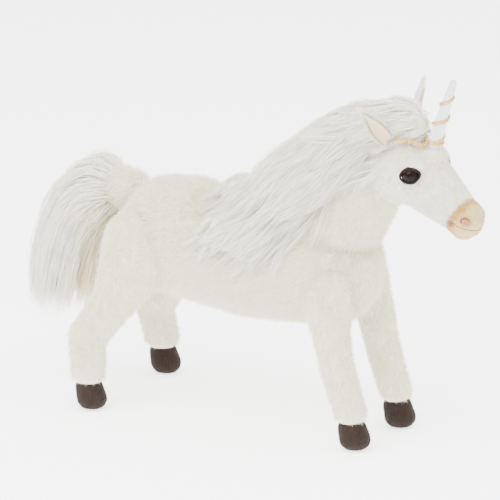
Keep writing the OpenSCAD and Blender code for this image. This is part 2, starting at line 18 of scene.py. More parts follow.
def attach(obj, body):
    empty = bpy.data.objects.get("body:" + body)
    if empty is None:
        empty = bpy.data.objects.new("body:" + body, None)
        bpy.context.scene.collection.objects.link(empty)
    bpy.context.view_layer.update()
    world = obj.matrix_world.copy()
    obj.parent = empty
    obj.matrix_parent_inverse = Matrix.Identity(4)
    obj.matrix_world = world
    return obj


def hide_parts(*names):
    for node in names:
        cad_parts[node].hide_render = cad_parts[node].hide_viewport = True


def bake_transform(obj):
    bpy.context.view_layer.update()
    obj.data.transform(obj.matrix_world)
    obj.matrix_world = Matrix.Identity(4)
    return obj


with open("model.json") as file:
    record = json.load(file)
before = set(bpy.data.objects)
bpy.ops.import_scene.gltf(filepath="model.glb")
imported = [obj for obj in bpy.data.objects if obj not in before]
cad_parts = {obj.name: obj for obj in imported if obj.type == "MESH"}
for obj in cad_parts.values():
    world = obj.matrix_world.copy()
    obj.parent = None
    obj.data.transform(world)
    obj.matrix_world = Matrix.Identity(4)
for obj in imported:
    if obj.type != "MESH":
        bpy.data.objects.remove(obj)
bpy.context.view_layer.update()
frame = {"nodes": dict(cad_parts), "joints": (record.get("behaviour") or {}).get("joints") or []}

MM = 0.001
LEFT, RIGHT = 1, -1
SIDES = ((LEFT, "left"), (RIGHT, "right"))
SEED = 11
random = np.random.default_rng(SEED)
STRAND_CORNERS = (0, 2.094, 4.189)  # the three corners of a strand's section, in radians

# ---------- places, all from the frame's joints ----------

joint_at = {j["name"]: np.array(j["pos_m"]) / MM for j in frame["joints"]}


def vec(*v):
    return np.array(v, float)


def unit(v):
    return v / np.maximum(np.linalg.norm(v, axis=-1, keepdims=True), 1e-9)


def mirrored(p, side):
    return vec(side * p[0], p[1], p[2])


neck_base = joint_at["neck_bend"]
poll = joint_at["head_turn"]
tail_root = joint_at["tail_lift"]
tail_bend = joint_at["tail_sway"]
neck_middle = neck_base * 0.45 + poll * 0.55 + vec(0, 2, 0)
chest = neck_base + vec(0, 0, -22)
rump = tail_root + vec(0, -47, -26)
belly = vec(0, 5, chest[2] - 5)
cranium = poll + vec(0, -32, 8)
muzzle = cranium + vec(0, -50, -34)
head_dir = unit(muzzle - cranium)
muzzle_edge = float(muzzle @ head_dir)
horn_base = cranium + vec(0, -19, 20)
horn_dir = unit(vec(0, -0.315, 0.949))
horn_len = 66.0
eye_at = cranium + vec(26.3, -13.5, 2.5)
eye_out = unit(vec(1, -0.34, 0.12))


def nostril_at(side):
    return muzzle + vec(side * 11.4, -8.6, 1.0)


def mouth_corner(side):
    return muzzle + vec(side * 15.8, 5.0, -1.8)



# ---------- small mesh tools ----------


def link(name, mesh):
    obj = bpy.data.objects.new(name, mesh)
    bpy.context.scene.collection.objects.link(obj)
    return obj


def mesh_piece(name, points, faces, materials, slots=None, smooth=True):
    """A piece from points in mm and triangles, with one material index per triangle."""
    points, faces = np.asarray(points, float), np.asarray(faces, np.int32)
    mesh = bpy.data.meshes.new(name)
    mesh.vertices.add(len(points))
    mesh.vertices.foreach_set("co", (points * MM).astype(np.float32).ravel())
    mesh.loops.add(faces.size)
    mesh.loops.foreach_set("vertex_index", faces.ravel())
    mesh.polygons.add(len(faces))
    mesh.polygons.foreach_set("loop_start", np.arange(0, faces.size, 3, dtype=np.int32))
    if slots is not None:
        mesh.polygons.foreach_set("material_index", np.asarray(slots, np.int32))
    mesh.polygons.foreach_set("use_smooth", np.full(len(faces), smooth))
    mesh.update(calc_edges=True)
    mesh.validate()
    for m in materials:
        mesh.materials.append(m)
    return link(name, mesh)


def sphere_points(count=260):
    """Points spread evenly over a ball of radius 1."""
    i = np.arange(count) + 0.5
    z = 1 - 2 * i / count
    a = math.pi * (1 + 5 ** 0.5) * i
    r = np.sqrt(1 - z * z)
    return np.stack([r * np.cos(a), r * np.sin(a), z], -1)


BALL = sphere_points()


def hull(*balls):
    """Points and faces of the convex hull of balls, each (centre, its three radii)."""
    bm = bmesh.new()
    for centre, radius in balls:
        for p in centre + BALL * radius:
            bm.verts.new(p)
    made = bmesh.ops.convex_hull(bm, input=bm.verts)
    spare = made["geom_interior"] + made["geom_unused"]
    extra = {g for g in spare if isinstance(g, bmesh.types.BMVert)}
    bmesh.ops.delete(bm, geom=list(extra), context="VERTS")
    bm.verts.index_update()
    points = [tuple(v.co) for v in bm.verts]
    faces = [[v.index for v in f.verts] for f in bm.faces]
    bm.free()
    return points, faces


def with_modifiers(obj):
    """Applies the modifiers of obj."""
    graph = bpy.context.evaluated_depsgraph_get()
    mesh = bpy.data.meshes.new_from_object(obj.evaluated_get(graph))
    obj.modifiers.clear()
    obj.data = mesh
    return obj


def stuffed(name, parts, material, voxel=2.4, smooth=14):
    """One closed soft skin over several hulls."""
    points, faces = [], []
    for p, f in parts:
        faces += [[i + len(points) for i in face] for face in f]
        points += p
    mesh = bpy.data.meshes.new(name)
    mesh.from_pydata([Vector(p) * MM for p in points], [], faces)
    obj = link(name, mesh)
    remesh = obj.modifiers.new("remesh", "REMESH")
    remesh.mode = "VOXEL"
    remesh.voxel_size = voxel * MM
    remesh.use_smooth_shade = True
    soften = obj.modifiers.new("soften", "SMOOTH")
    soften.factor = 0.6
    soften.iterations = smooth
    with_modifiers(obj)
    obj.data.materials.clear()
    obj.data.materials.append(material)
    return obj


def mesh_arrays(obj):
    """Points in mm, their normals, and the triangles of a piece."""
    mesh = obj.data
    mesh.calc_loop_triangles()
    points = np.empty(len(mesh.vertices) * 3, np.float32)
    mesh.vertices.foreach_get("co", points)
    normals = np.empty(len(mesh.vertices) * 3, np.float32)
    mesh.vertex_normals.foreach_get("vector", normals)
    tris = np.empty(len(mesh.loop_triangles) * 3, np.int32)
    mesh.loop_triangles.foreach_get("vertices", tris)
    return points.reshape(-1, 3) / MM, normals.reshape(-1, 3), tris.reshape(-1, 3)


def move_points(obj, change):
    """Replaces the points of a piece, in mm, by change(points, normals)."""
    points, normals, _ = mesh_arrays(obj)
    obj.data.vertices.foreach_set("co", (change(points, normals) * MM).astype(np.float32).ravel())
    obj.data.update()


def tree_of(*objs):
    """One search tree over the triangles of several pieces, in mm."""
    points, tris = [], []
    count = 0
    for o in objs:
        p, _, t = mesh_arrays(o)
        points.append(p)
        tris.append(t + count)
        count += len(p)
    return BVHTree.FromPolygons(np.concatenate(points).tolist(), np.concatenate(tris).tolist())


def on_surface(tree, p):
    """The nearest point of the tree's surface to p, and the normal there."""
    hit, normal, _, _ = tree.find_nearest(Vector(p))
    return np.array(hit), np.array(normal)


# ---------- materials ----------


def shader(name, rough=0.8, sheen=0.0, specular=0.3, metallic=0.0):
    """A material with its Principled shader's plain values set, its node tree and that shader."""
    m = bpy.data.materials.new(name)
    m.use_nodes = True
    s = m.node_tree.nodes["Principled BSDF"]
    s.inputs["Roughness"].default_value = rough
    s.inputs["Specular IOR Level"].default_value = specular
    s.inputs["Metallic"].default_value = metallic
    s.inputs["Sheen Weight"].default_value = sheen
    s.inputs["Sheen Roughness"].default_value = 0.5
    return m, m.node_tree, s


def place(tree, stretch=(1, 1, 1)):
    """Coordinates that stay with the piece, in metres, stretched along each axis."""
    where = tree.nodes.new("ShaderNodeTexCoord")
    mapping = tree.nodes.new("ShaderNodeMapping")
    mapping.inputs["Scale"].default_value = stretch
    tree.links.new(where.outputs["Object"], mapping.inputs["Vector"])
    return mapping.outputs["Vector"]


def noise(tree, at, scale, detail=3.0):
    n = tree.nodes.new("ShaderNodeTexNoise")
    n.inputs["Scale"].default_value = scale
    n.inputs["Detail"].default_value = detail
    tree.links.new(at, n.inputs["Vector"])
    return n.outputs["Fac"]


def ramp(tree, value, stops):
    r = tree.nodes.new("ShaderNodeValToRGB")
    while len(r.color_ramp.elements) < len(stops):
        r.color_ramp.elements.new(0.5)
    for e, (pos, colour) in zip(r.color_ramp.elements, stops):
        e.position = pos
        e.color = (*colour, 1)
    tree.links.new(value, r.inputs["Fac"])
    return r.outputs["Color"]


def fit_range(tree, value, low, high, to_low, to_high):
    r = tree.nodes.new("ShaderNodeMapRange")
    for socket, v in (("From Min", low), ("From Max", high), ("To Min", to_low), ("To Max", to_high)):
        r.inputs[socket].default_value = v
    tree.links.new(value, r.inputs["Value"])
    return r.outputs["Result"]


def mixed(tree, amount, a, b):
    """Colour b over colour a by amount; each colour is a socket or three numbers."""
    mix = tree.nodes.new("ShaderNodeMix")
    mix.data_type = "RGBA"
    tree.links.new(amount, mix.inputs["Factor"])
    for socket, colour in ((mix.inputs[6], a), (mix.inputs[7], b)):
        if isinstance(colour, tuple):
            socket.default_value = (*colour, 1)
        else:
            tree.links.new(colour, socket)
    return mix.outputs[2]


def bump(tree, s, height, strength, distance):
    b = tree.nodes.new("ShaderNodeBump")
    b.inputs["Strength"].default_value = strength
    b.inputs["Distance"].default_value = distance
    tree.links.new(height, b.inputs["Height"])
    tree.links.new(b.outputs["Normal"], s.inputs["Normal"])


def cloth(name, dark, light, grain=900, patch=25, rough=(0.7, 0.95), relief=0.4, depth=0.0006,
          stretch=(1, 1, 1), sheen=0.3, specular=0.25, metallic=0.0):
    """A woven or napped fabric: fine grain, broad tone patches, and relief from the same grain."""
    m, tree, s = shader(name, sheen=sheen, specular=specular, metallic=metallic)
    at = place(tree, stretch)
    fine = noise(tree, at, grain, 4)
    broad = noise(tree, place(tree), patch, 2)
    middle = tuple((a + b) / 2 for a, b in zip(dark, light))
    tone = ramp(tree, fine, [(0.3, dark), (0.5, middle), (0.72, light)])
    worn = fit_range(tree, broad, 0.35, 0.7, 0, 0.5)
    tree.links.new(mixed(tree, worn, tone, light), s.inputs["Base Color"])
    tree.links.new(fit_range(tree, fine, 0.3, 0.7, rough[1], rough[0]), s.inputs["Roughness"])
    bump(tree, s, fine, relief, depth)
    return m


def strand_set(name, colours, rough=0.75, sheen=0.15):
    """Plain strand materials in several tones, which vary the colour from hair to hair."""
    made = []
    for i, colour in enumerate(colours):
        m, _, s = shader(f"{name}_{i}", rough=rough, sheen=sheen, specular=0.1)
        s.inputs["Base Color"].default_value = (*colour, 1)
        made.append(m)
    return made


backing = cloth("plush_backing", (0.72, 0.65, 0.47), (0.88, 0.83, 0.68), grain=1300, patch=22,
                relief=0.6)
hair_backing = cloth("pile_roots", (0.80, 0.72, 0.52), (0.92, 0.86, 0.70), grain=700, patch=30,
                     stretch=(2.2, 0.5, 0.6), relief=0.7, depth=0.001)
pile_tones = strand_set("pile", [(0.86, 0.84, 0.68), (0.83, 0.80, 0.62), (0.90, 0.88, 0.74),
                                 (0.80, 0.75, 0.55)])
hair_tones = strand_set("hair", [(0.95, 0.93, 0.79), (0.93, 0.90, 0.74), (0.97, 0.96, 0.86),
                                 (0.92, 0.87, 0.68)], rough=0.7, sheen=0.3)
# Golden tones that paint the shade where the tail's under hair meets the rump.
rump_shade_tones = strand_set("painted_shade_hair", [(0.90, 0.80, 0.56), (0.86, 0.71, 0.42), (0.92, 0.85, 0.66)],
                        rough=0.7, sheen=0.3)
head_tones = strand_set("head_pile", [(0.82, 0.79, 0.70), (0.79, 0.76, 0.66), (0.85, 0.83, 0.75),
                                      (0.74, 0.70, 0.58)])
velour_tones = strand_set("muzzle_nap", [(0.60, 0.46, 0.22), (0.52, 0.32, 0.06), (0.42, 0.20, 0.02),
                                         (0.66, 0.53, 0.30), (0.13, 0.02, 0.012)])
velvet_tones = strand_set("hoof_nap", [(0.022, 0.013, 0.010), (0.014, 0.008, 0.006), (0.036, 0.022, 0.017)],
                          rough=0.85, sheen=0.06)
velvet = cloth("hoof_velvet", (0.010, 0.006, 0.004), (0.028, 0.018, 0.014), grain=1500, patch=60, sheen=0.08,
               specular=0.1)
lining = cloth("ear_lining", (0.60, 0.41, 0.25), (0.78, 0.60, 0.42), grain=1600, patch=90,
               relief=0.3)
satin = cloth("horn_satin", (0.58, 0.54, 0.57), (0.78, 0.76, 0.80), grain=260, patch=40,
              rough=(0.32, 0.5), stretch=(1, 1, 0.15), relief=0.35, depth=0.0004, sheen=0.4,
              specular=0.5)
gold = cloth("gold_cord", (0.30, 0.17, 0.025), (0.72, 0.50, 0.15), grain=2600, patch=200,
             rough=(0.28, 0.55), relief=0.6, depth=0.0003, sheen=0.2, specular=0.6, metallic=0.55)
thread = cloth("dark_thread", (0.10, 0.028, 0.018), (0.26, 0.085, 0.05), grain=3000, patch=200)
eyelid = cloth("eyelid_nap", (0.006, 0.004, 0.003), (0.022, 0.014, 0.011), grain=1800, patch=150,
               relief=0.3, sheen=0.0, specular=0.05)
padding = cloth("filling_fibre", (0.78, 0.78, 0.76), (0.95, 0.95, 0.94), grain=240, patch=40,
                relief=0.7, depth=0.002)


def steel_wire():
    """Drawn steel with fine lengthwise marks."""
    m, tree, s = shader("frame_steel", specular=0.5, metallic=1.0)
    brushed = noise(tree, place(tree, (1, 1, 0.1)), 2500, 2)
    tone = ramp(tree, brushed, [(0.3, (0.36, 0.36, 0.38)), (0.7, (0.62, 0.62, 0.64))])
    tree.links.new(tone, s.inputs["Base Color"])
    tree.links.new(fit_range(tree, brushed, 0.3, 0.7, 0.28, 0.5), s.inputs["Roughness"])
    bump(tree, s, brushed, 0.15, 0.0001)
    return m


def moulded(name, dark, light, rough):
    """Moulded plastic with a faint mottle and a fine orange-peel surface."""
    m, tree, s = shader(name, specular=0.08)
    mottle = noise(tree, place(tree), 500, 3)
    tree.links.new(ramp(tree, mottle, [(0.35, dark), (0.7, light)]), s.inputs["Base Color"])
    tree.links.new(fit_range(tree, mottle, 0.3, 0.7, rough, rough * 1.7), s.inputs["Roughness"])
    bump(tree, s, noise(tree, place(tree), 1800, 2), 0.02, 0.0002)
    return m


def muzzle_velour():
    """Peach velour, airbrushed darker along its edge, round the nostrils and at the mouth's corners."""
    m, tree, s = shader("muzzle_velour", sheen=0.3, specular=0.2)
    at = place(tree)
    fine = noise(tree, at, 1800, 4)
    colour = ramp(tree, fine, [(0.3, (0.54, 0.40, 0.16)), (0.7, (0.68, 0.55, 0.30))])
    along = tree.nodes.new("ShaderNodeVectorMath")
    along.operation = "DOT_PRODUCT"
    along.inputs[1].default_value = head_dir
    tree.links.new(at, along.inputs[0])
    edge = muzzle_edge * MM
    ragged = tree.nodes.new("ShaderNodeMath")
    ragged.operation = "ADD"
    tree.links.new(along.outputs["Value"], ragged.inputs[0])
    stray = fit_range(tree, noise(tree, at, 120, 3), 0.3, 0.7, -0.0025, 0.0025)
    tree.links.new(stray, ragged.inputs[1])
    band = fit_range(tree, ragged.outputs["Value"], edge - 0.003, edge + 0.005, 0.9, 0.0)
    colour = mixed(tree, band, colour, (0.40, 0.19, 0.02))
    for side in (LEFT, RIGHT):
        for spot, reach, tone in ((nostril_at(side), 6.5, (0.30, 0.07, 0.03)),
                                  (mouth_corner(side), 6.0, (0.30, 0.07, 0.025))):
            far = tree.nodes.new("ShaderNodeVectorMath")
            far.operation = "DISTANCE"
            far.inputs[1].default_value = spot * MM
            tree.links.new(at, far.inputs[0])
            shade = fit_range(tree, far.outputs["Value"], 0.0015, reach * MM, 0.9, 0.0)
            colour = mixed(tree, shade, colour, tone)
    tree.links.new(colour, s.inputs["Base Color"])
    tree.links.new(fit_range(tree, fine, 0.3, 0.7, 0.95, 0.75), s.inputs["Roughness"])
    bump(tree, s, fine, 0.4, 0.0004)
    return m


# ---------- camera, floor and light ----------


LENS, CAMERA_AWAY = 1036.8, 12  # mm, m
CAMERA_AZIMUTH, CAMERA_ELEVATION = -58, 17.3
FLOOR_HALF, LIGHT_AWAY = 30, 1.6  # m
LIGHTS = (  # name, azimuth, elevation, size in m, power in W
    ("key", -100, 55, 1.6, 60),
    ("fill", 10, 40, 2.0, 14),
    ("top", 60, 75, 2.0, 26),
)


def aimed(obj, at, target):
    obj.location = at
    obj.rotation_euler = (Vector(target) - Vector(at)).to_track_quat("-Z", "Y").to_euler()


def direction(azimuth, elevation):
    a, e = math.radians(azimuth), math.radians(elevation)
    return Vector((math.sin(a) * math.cos(e), -math.cos(a) * math.cos(e), math.sin(e)))


def studio():
    """The camera, a plain pale floor, and soft light from the near side, the front and above."""
    view = bpy.data.cameras.new("camera")
    view.lens = LENS
    view.sensor_width = 36
    view.clip_start = 0.05
    view.clip_end = 60
    camera = link("camera", view)
    target = Vector((-0.0071, 0.0040, 0.1459))
    aimed(camera, target + direction(CAMERA_AZIMUTH, CAMERA_ELEVATION) * CAMERA_AWAY, target)
    bpy.context.scene.camera = camera

    floor_mesh = bpy.data.meshes.new("floor")
    w = FLOOR_HALF
    floor_mesh.from_pydata([(-w, -w, 0), (w, -w, 0), (w, w, 0), (-w, w, 0)], [], [(0, 1, 2, 3)])
    m, tree, s = shader("floor_paper", rough=0.9, specular=0.1)
    grain = noise(tree, place(tree), 300, 2)
    tone = ramp(tree, grain, [(0.3, (0.93, 0.93, 0.93)), (0.7, (0.96, 0.96, 0.96))])
    tree.links.new(tone, s.inputs["Base Color"])
    s.inputs["Emission Color"].default_value = (1, 1, 1, 1)
    s.inputs["Emission Strength"].default_value = 2.5
    floor_mesh.materials.append(m)
    link("floor", floor_mesh)

    world = bpy.data.worlds.new("studio")
    world.use_nodes = True
    world.node_tree.nodes["Background"].inputs["Color"].default_value = (1, 1, 1, 1)
    world.node_tree.nodes["Background"].inputs["Strength"].default_value = 2.0
    bpy.context.scene.world = world
    for name, azimuth, elevation, size, power in LIGHTS:
        light = bpy.data.lights.new(name, "AREA")
        light.shape = "DISK"
        light.size = size
        light.energy = power
        aimed(link(name, light), target + direction(azimuth, elevation) * LIGHT_AWAY, target)


studio()

# ---------- stuffed skins ----------


torso_skin = stuffed("torso_skin", [
    hull((chest, vec(43, 44, 46)), (belly, vec(45, 46, 47))),
    hull((belly, vec(45, 46, 47)), (rump, vec(46, 46, 47))),
    hull((rump + vec(0, 4, -4), vec(46, 44, 44)), (rump + vec(0, -18, 5), vec(45, 40, 44))),
    hull((rump + vec(0, 2, 12), vec(30, 34, 35)), (rump + vec(0, 26, 10), vec(20, 18, 26))),
    hull((neck_base + vec(0, 18, 4), vec(26, 40, 26))),
    hull((neck_base + vec(0, 1, -1), vec(34, 37, 37))),
    hull((chest + vec(0, -8, 4), vec(36, 37, 40))),
], backing)

neck_skin = stuffed("neck_skin", [
    hull((neck_base + vec(0, 4, -6), vec(35, 37, 36)), (neck_middle, vec(28, 33, 31))),
    hull((neck_middle, vec(28, 33, 31)), (poll + vec(0, 1, -1), vec(23, 25, 25))),
], backing)

head_skin = stuffed("head_skin", [
    hull((cranium, vec(26, 27.5, 27.5)), (muzzle - head_dir * 4, vec(14.6, 15.5, 15.5))),
    hull((poll, vec(23.5, 25, 25)), (cranium + vec(0, 4, -4), vec(25, 25, 25))),
    *(hull((cranium + vec(side * 9, 1, -11), vec(17.5, 17, 15)),
           (cranium + vec(side * 8, -22, -15), vec(11, 10, 9))) for side in (LEFT, RIGHT)),
    hull((horn_base - horn_dir * 4, vec(12, 12, 8)), (cranium + vec(0, -16, 8), vec(15, 14, 12))),
    *(hull((mirrored(eye_at, side) + vec(side * -7, 0, 7), vec(6.5, 10, 4.5)))
      for side in (LEFT, RIGHT)),
], backing, voxel=1.8, smooth=10)

muzzle_parts = [
    hull((muzzle - head_dir * 5, vec(15.4, 16.2, 16.2)),
         (muzzle + head_dir * 0.5, vec(16.0, 16.6, 16.4))),
    hull((muzzle + vec(0, -6.5, -7), vec(10, 8.5, 8))),
    hull((muzzle + vec(0, 0, -10.5), vec(10.5, 10.5, 8))),
    *(hull((muzzle + vec(side * 7.5, -6.5, 1.5), vec(7.5, 7.5, 7.5))) for side in (LEFT, RIGHT)),
]

muzzle_skin = stuffed("muzzle_skin", muzzle_parts, muzzle_velour(), voxel=1.3, smooth=8)

LEGS = {}
for end in ("front", "rear"):
    for side, word in SIDES:
        LEGS[f"{end}_{word}"] = (end, side)


def leg_points(leg):
    """The pivot, bend and sole centre of a leg."""
    end, side = LEGS[leg]
    pivot = joint_at[f"{leg}_{'shoulder' if end == 'front' else 'hip'}"]
    bend = joint_at[f"{leg}_{'knee' if end == 'front' else 'hock'}"]
    sole = bend + (vec(0, -16, -bend[2]) if end == "front" else vec(side * 5, -5, -bend[2]))
    return pivot, bend, sole


def leg_parts(leg):
    """The hulls of a leg, from its pad at the torso to the top of its hoof."""
    end, side = LEGS[leg]
    pivot, bend, sole = leg_points(leg)
    top = sole + vec(0, 3, 30)
    if end == "front":
        elbow = pivot + vec(-side * 0.5, -7, -33)
        return [
            hull((pivot + vec(-side * 9, 4, 4), vec(16, 24, 25)), (elbow, vec(14, 14.5, 15))),
            hull((elbow, vec(14, 14.5, 15)), (bend, vec(13, 12.6, 13))),
            hull((bend, vec(13, 13.2, 13)), (top, vec(12.2, 12.2, 12.2))),
            hull((bend + vec(0, -1.2, 0), vec(12.6, 13, 12))),
        ]
    stifle = pivot + vec(side * 6, 18, -42)
    return [
        hull((pivot + vec(-side * 5, 1, 3), vec(20, 32, 33)), (stifle, vec(15.5, 18, 18))),
        hull((stifle, vec(15.5, 16.5, 18)), (bend + vec(0, 2, 0), vec(13, 15, 14))),
        hull((bend + vec(0, 2, 0), vec(13, 15, 14)), (top, vec(12.4, 13.4, 12.4))),
        hull((bend + vec(0, 5, 1), vec(11.5, 13, 12))),
    ]


leg_skins = {leg: stuffed(f"{leg}_leg_skin", leg_parts(leg), backing, smooth=10)
             for leg in LEGS}

dock_skin = stuffed("tail_dock_skin", [
    hull((tail_root + vec(0, -6, 5), vec(16, 13, 15)), (tail_bend + vec(0, 4, -1), vec(16, 15, 16))),
], backing, voxel=2.0, smooth=6)

# ---------- short pile ----------


def scattered(obj, per_mm2):
    """Points spread by area over a skin, with the skin's normals there."""
    points, normals, tris = mesh_arrays(obj)
    a, b, c = (points[tris[:, i]] for i in range(3))
    area = np.linalg.norm(np.cross(b - a, c - a), axis=1) / 2
    count = int(area.sum() * per_mm2)
    pick = random.choice(len(tris), count, p=area / area.sum())
    u, v = random.random((2, count))
    over = u + v > 1
    u[over], v[over] = 1 - u[over], 1 - v[over]
    u, v = u[:, None], v[:, None]
    t = tris[pick]
    at = a[pick] + u * (b[pick] - a[pick]) + v * (c[pick] - a[pick])
    n = normals[t[:, 0]] * (1 - u - v) + normals[t[:, 1]] * u + normals[t[:, 2]] * v
    return at, unit(n)


def pile(name, skin, per_mm2, length, comb, tones, rise=0.6, width=0.3, keep=None, tone_of=None):
    """Short hairs all over a skin, each a closed spike that leans the way comb(points) says."""
    at, n = scattered(skin, per_mm2)
    if keep is not None:
        kept = keep(at)
        at, n = at[kept], n[kept]
    count = len(at)
    flow = comb(at)
    flow = unit(flow - n * np.sum(flow * n, 1, keepdims=True))
    lean = unit(n * rise + flow * 0.75 + random.normal(size=(count, 3)) * 0.24)
    tip = at + lean * (length * random.uniform(0.65, 1.15, count))[:, None]
    across = unit(np.cross(lean, random.normal(size=(count, 3))))
    other = np.cross(lean, across)
    root = at - n * 0.6
    corners = [root + width * (across * math.cos(a) + other * math.sin(a)) for a in STRAND_CORNERS]
    points = np.stack([*corners, tip], 1).reshape(-1, 3)
    base = (np.arange(count) * 4)[:, None, None]
    faces = (base + np.array([[0, 1, 3], [1, 2, 3], [2, 0, 3], [2, 1, 0]])).reshape(-1, 3)
    tone = random.integers(0, len(tones), count) if tone_of is None else tone_of(at, count)
    return mesh_piece(name, points, faces, tones, np.repeat(tone, 4), smooth=False)


def backward(p):
    """Body pile lies towards the tail and down."""
    return np.tile(vec(0, 0.8, -0.6), (len(p), 1))


def neck_comb(p):
    """Neck pile lies down the neck and a little back."""
    return np.tile(vec(0, 0.35, -0.9), (len(p), 1))


def down(p):
    """Leg and hoof pile lies down."""
    return np.tile(vec(0, 0.1, -1), (len(p), 1))


def face_comb(p):
    """Face pile runs from the muzzle back over the head and cheeks."""
    return np.tile(vec(0, 0.75, 0.2), (len(p), 1)) + (p - cranium) * vec(0.01, 0, 0)


DENSITY = 1.0

short_pile = {
    "torso_pile_front": pile("torso_pile_front", torso_skin, 1.1 * DENSITY, 7.0, backward, pile_tones,
                             keep=lambda p: p[:, 1] < 8),
    "torso_pile_rear": pile("torso_pile_rear", torso_skin, 1.1 * DENSITY, 7.0, backward, pile_tones,
                            keep=lambda p: p[:, 1] >= 8),
    "neck_pile": pile("neck_pile", neck_skin, 1.3 * DENSITY, 6.0, neck_comb, pile_tones),
    "tail_dock_pile": pile("tail_dock_pile", dock_skin, 1.3 * DENSITY, 7.0, backward, pile_tones),
}
EYE_CLEARING = 7.6


def off_the_trim(p):
    """Face pile stops at the muzzle's edge and round the eyes."""
    clear = p @ head_dir < muzzle_edge - 1.5 + random.normal(size=len(p)) * 0.8
    for side in (LEFT, RIGHT):
        clear &= np.linalg.norm(p - mirrored(eye_at, side), axis=1) > EYE_CLEARING
    return clear


HOOF_TOP = 27.5
short_pile["head_pile"] = pile("head_pile", head_skin, 1.7 * DENSITY, 3.6, face_comb, head_tones,
                               rise=0.45, width=0.26, keep=off_the_trim)
for leg in LEGS:
    name = f"{leg}_leg_pile"
    short_pile[name] = pile(name, leg_skins[leg], 1.2 * DENSITY, 5.0, down, pile_tones,
                            keep=lambda p: p[:, 2] > HOOF_TOP)


def muzzle_tone(p, count):
    """Nap tones that follow the airbrushed shading."""
    tone = random.choice([0, 3], count, p=[0.55, 0.45])
    edge = np.exp(-np.clip(p @ head_dir - muzzle_edge + 2, 0, None) / 4.0)
    at_edge = random.random(count) < edge * 0.8
    tone = np.where(at_edge, random.choice([1, 2], count, p=[0.5, 0.5]), tone)
    for side in (LEFT, RIGHT):
        for spot, reach in ((nostril_at(side), 2.4), (mouth_corner(side), 2.6)):
            near = np.exp(-(np.linalg.norm(p - spot, axis=1) / reach) ** 2 / 2)
            tone = np.where(random.random(count) < near * 0.75, 4, tone)
            ring = np.exp(-(np.linalg.norm(p - spot, axis=1) / (reach * 2)) ** 2 / 2)
            tone = np.where((random.random(count) < ring * 0.5) & (tone != 4), 2, tone)
    return tone


def muzzle_comb(p):
    """Muzzle nap lies back and down."""
    return np.tile(vec(0, 0.6, -0.4), (len(p), 1))


muzzle_nap = pile("muzzle_nap", muzzle_skin, 3.2 * DENSITY, 1.3, muzzle_comb, velour_tones, rise=0.8,
                  width=0.2, keep=lambda p: p @ head_dir > muzzle_edge - 7, tone_of=muzzle_tone)

# ---------- long hair ----------


def hair(name, guides, spread, per_guide, width, tones, curl=1.0):
    """Tapered strands round guide lines (lines x points x 3), within each lock's spread."""
    guides = np.asarray(guides, float)
    g, k, _ = guides.shape
    per_guide = max(2, int(per_guide * (1)))
    lock = np.repeat(np.arange(g), per_guide)
    count = len(lock)
    t = np.linspace(0, 1, k)[None, :] * random.uniform(0.72, 1.0, count)[:, None]
    at = t * (k - 1)
    low = np.minimum(at.astype(int), k - 2)
    part = (at - low)[:, :, None]
    line = guides[lock[:, None], low] * (1 - part) + guides[lock[:, None], low + 1] * part
    body = np.asarray(spread, float)[lock][:, None, None]
    off = unit(random.normal(size=(count, 1, 3))) * np.sqrt(random.random((count, 1, 1)))
    shape = (0.75 + 0.5 * np.sin(math.pi * t * 0.9) - 0.75 * t ** 2)[:, :, None]
    line = line + off * body * shape
    beat, phase = random.uniform(3, 7, (count, 1, 1)), random.uniform(0, 6.3, (count, 1, 3))
    wave = np.sin(t[:, :, None] * beat + phase)
    line = line + wave * curl * t[:, :, None]
    along = unit(np.gradient(line, axis=1))
    across = unit(np.cross(along, random.normal(size=(count, 1, 3))))
    other = np.cross(along, across)
    taper = (1 - 0.75 * np.linspace(0, 1, k))[None, :, None]
    thick = width * taper * random.uniform(0.8, 1.2, (count, 1, 1))
    rings = [line + thick * (across * math.cos(a) + other * math.sin(a)) for a in STRAND_CORNERS]
    rings = np.stack(rings, 2)[:, :-1].reshape(count, -1, 3)
    points = np.concatenate([rings, line[:, -1:]], 1)
    step = points.shape[1]
    faces = [[0, 2, 1]]
    for i in range(k - 2):
        for j in range(3):
            a, b = i * 3 + j, i * 3 + (j + 1) % 3
            faces += [[a, b, b + 3], [a, b + 3, a + 3]]
    last = (k - 2) * 3
    faces += [[last + j, last + (j + 1) % 3, step - 1] for j in range(3)]
    faces = (np.arange(count)[:, None, None] * step + np.array(faces)).reshape(-1, 3)
    tone = np.where(random.random(count) < 0.65, random.integers(0, len(tones), g)[lock],
                    random.integers(0, len(tones), count))
    slots = np.repeat(tone, len(faces) // count)
    return mesh_piece(name, points.reshape(-1, 3), faces, tones, slots)


def draped(roots, comb, length, tree, lift, points=7, wander=0.18):
    """Guide lines from the roots that lie on the tree's surface as they follow comb(point)."""
    lines = []
    for root in roots:
        reach = length * random.uniform(0.8, 1.15)
        stride = reach / (points - 1)
        top = random.uniform(*lift)
        sway = random.normal(size=3) * wander
        p, heading = np.array(root), unit(comb(root) + sway)
        line = [p]
        for i in range(1, points):
            heading = unit(heading * 0.5 + (comb(p) + sway) * 0.5)
            p = p + heading * stride
            want = 0.6 + (top - 0.6) * i / (points - 1)
            ground, normal = on_surface(tree, p)
            height = float((p - ground) @ normal)
            if height < want:
                p = ground + normal * want
            elif height > want + 2:
                p = p - normal * min(height - want, stride * 0.35)
            line.append(p)
        lines.append(line)
    return lines


def locks(name, body, count, keep, comb, length, ground, lift, spread, per_guide, wander=0.18):
    """Long hair in count locks, rooted on a body where keep says and draped over the ground."""
    at, _ = scattered(body, 0.5)
    at = at[keep(at)]
    roots = at[random.permutation(len(at))[:count]]
    guides = draped(roots, comb, length, ground, lift, wander=wander)
    return hair(name, guides, random.uniform(*spread, count), per_guide, 0.3, hair_tones)


